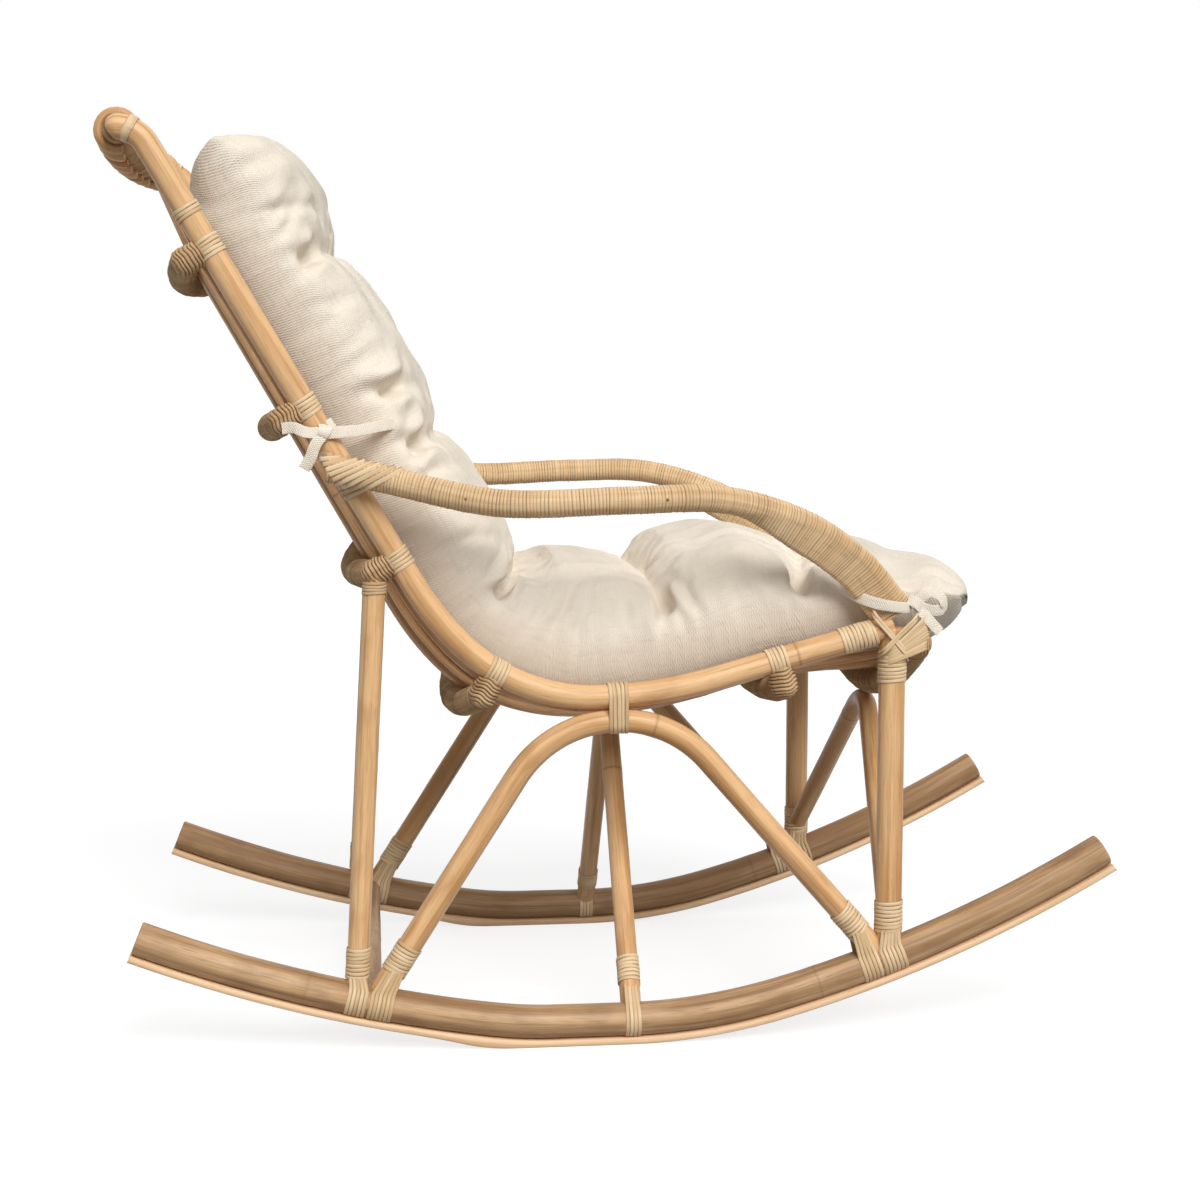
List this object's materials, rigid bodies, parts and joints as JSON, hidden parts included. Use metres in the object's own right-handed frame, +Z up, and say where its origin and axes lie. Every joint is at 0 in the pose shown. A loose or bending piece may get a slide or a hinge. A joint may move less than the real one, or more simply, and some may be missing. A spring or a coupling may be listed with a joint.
{
  "type": "rattan rocking chair",
  "caption": "Bent rattan rocking chair: slatted seat and back in one sweep, bowed arms, lashed posts and arches, two curved rockers with flat soles, and a tufted cushion tied on.",
  "frame": {"origin": "on the floor, under the middle of the chair's outline", "axes": "+X forward, the way the sitter faces; +Y to the sitter's left; +Z up"},
  "size_m": [1.1042, 0.6838, 1.0007],
  "materials": {
    "rattan_pole": "satin clear-coated rattan",
    "wound_cane": "satin pole closely wound with cane",
    "pale_cane": "satin flat cane strip",
    "pale_wood": "satin pale wood strip",
    "ivory_cotton": "matt plain-woven cotton"
  },
  "bodies": {
    "root": {"arch_front_lashing_left": "pale_cane", "arch_front_lashing_right": "pale_cane", "arch_rear_lashing_left": "pale_cane", "arch_rear_lashing_right": "pale_cane", "arch_top_lashing_left": "pale_cane", "arch_top_lashing_right": "pale_cane", "arm_left": "wound_cane", "arm_right": "wound_cane", "arm_splice_left": "wound_cane", "arm_splice_right": "wound_cane", "arm_strap_left": "pale_cane", "arm_strap_right": "pale_cane", "back_tie_left": "ivory_cotton", "back_tie_right": "ivory_cotton", "cushion": "ivory_cotton", "front_arch": "rattan_pole", "front_corner_lashing_left": "pale_cane", "front_corner_lashing_right": "pale_cane", "front_post_lashing_left": "pale_cane", "front_post_lashing_right": "pale_cane", "front_post_left": "rattan_pole", "front_post_right": "rattan_pole", "front_rail": "wound_cane", "front_tie_left": "ivory_cotton", "front_tie_right": "ivory_cotton", "lower_back_rail": "wound_cane", "middle_arch": "rattan_pole", "middle_arch_lashing_left": "pale_cane", "middle_arch_lashing_right": "pale_cane", "middle_back_rail": "wound_cane", "middle_seat_rail": "wound_cane", "rear_post_lashing_left": "pale_cane", "rear_post_lashing_right": "pale_cane", "rear_post_left": "rattan_pole", "rear_post_right": "rattan_pole", "rear_seat_rail": "wound_cane", "rear_stretcher": "rattan_pole", "rocker_left": "rattan_pole", "rocker_right": "rattan_pole", "rocker_sole_left": "pale_wood", "rocker_sole_right": "pale_wood", "side_arch_left": "rattan_pole", "side_arch_right": "rattan_pole", "side_pole_left": "rattan_pole", "side_pole_right": "rattan_pole", "slat_1": "rattan_pole", "slat_2": "rattan_pole", "slat_3": "rattan_pole", "slat_4": "rattan_pole", "slat_5": "rattan_pole", "slat_6": "rattan_pole", "slat_7": "rattan_pole", "slat_8": "rattan_pole", "slat_9": "rattan_pole", "top_rail": "wound_cane", "upper_back_rail": "wound_cane"}
  },
  "joints": []
}
